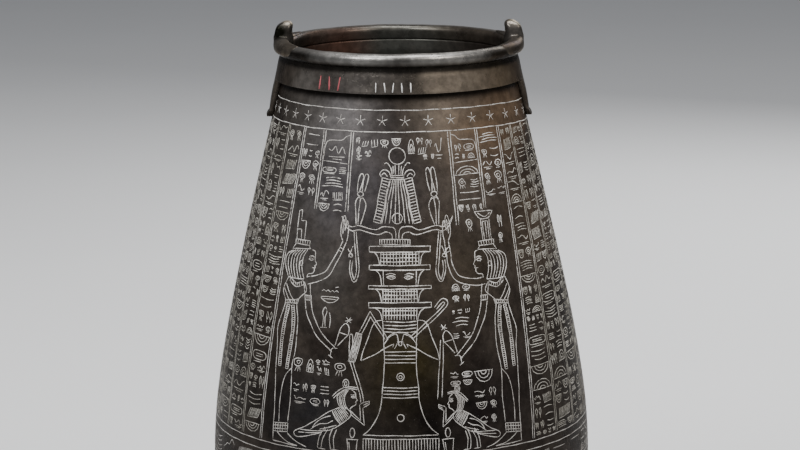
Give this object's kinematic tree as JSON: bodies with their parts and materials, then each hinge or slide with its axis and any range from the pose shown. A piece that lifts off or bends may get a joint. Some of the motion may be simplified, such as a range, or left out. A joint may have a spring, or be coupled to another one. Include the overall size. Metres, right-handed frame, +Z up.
{
  "type": "bronze situla",
  "caption": "Bag-shaped ritual bucket with a narrow mouth, a heavy belly, a rolled rim collar with hanging tabs, and upright eyes astride the rim for a bail handle.",
  "frame": {"origin": "centre of the flat that the vessel stands on", "axes": "+Z up along the vessel's axis, +X towards the right handle lug, -Y towards the engraved main panel"},
  "size_m": [0.26, 0.26, 0.444],
  "materials": {
    "vessel_bronze": "dark brown patina, satin, with pitting and grey and ochre staining",
    "collar_bronze": "brown patina, satin, rubbed brighter along the rolled rim",
    "lug_bronze": "dark patina rubbed bright where hands and the handle touched",
    "engraving_fill": "matt white powder lodged in engraved lines",
    "painted_mark": "small strokes of matt paint on the collar"
  },
  "bodies": {
    "root": {"vessel_body": "vessel_bronze", "rim_collar": "collar_bronze", "handle_lug_left": "lug_bronze", "handle_lug_right": "lug_bronze"}
  },
  "joints": []
}
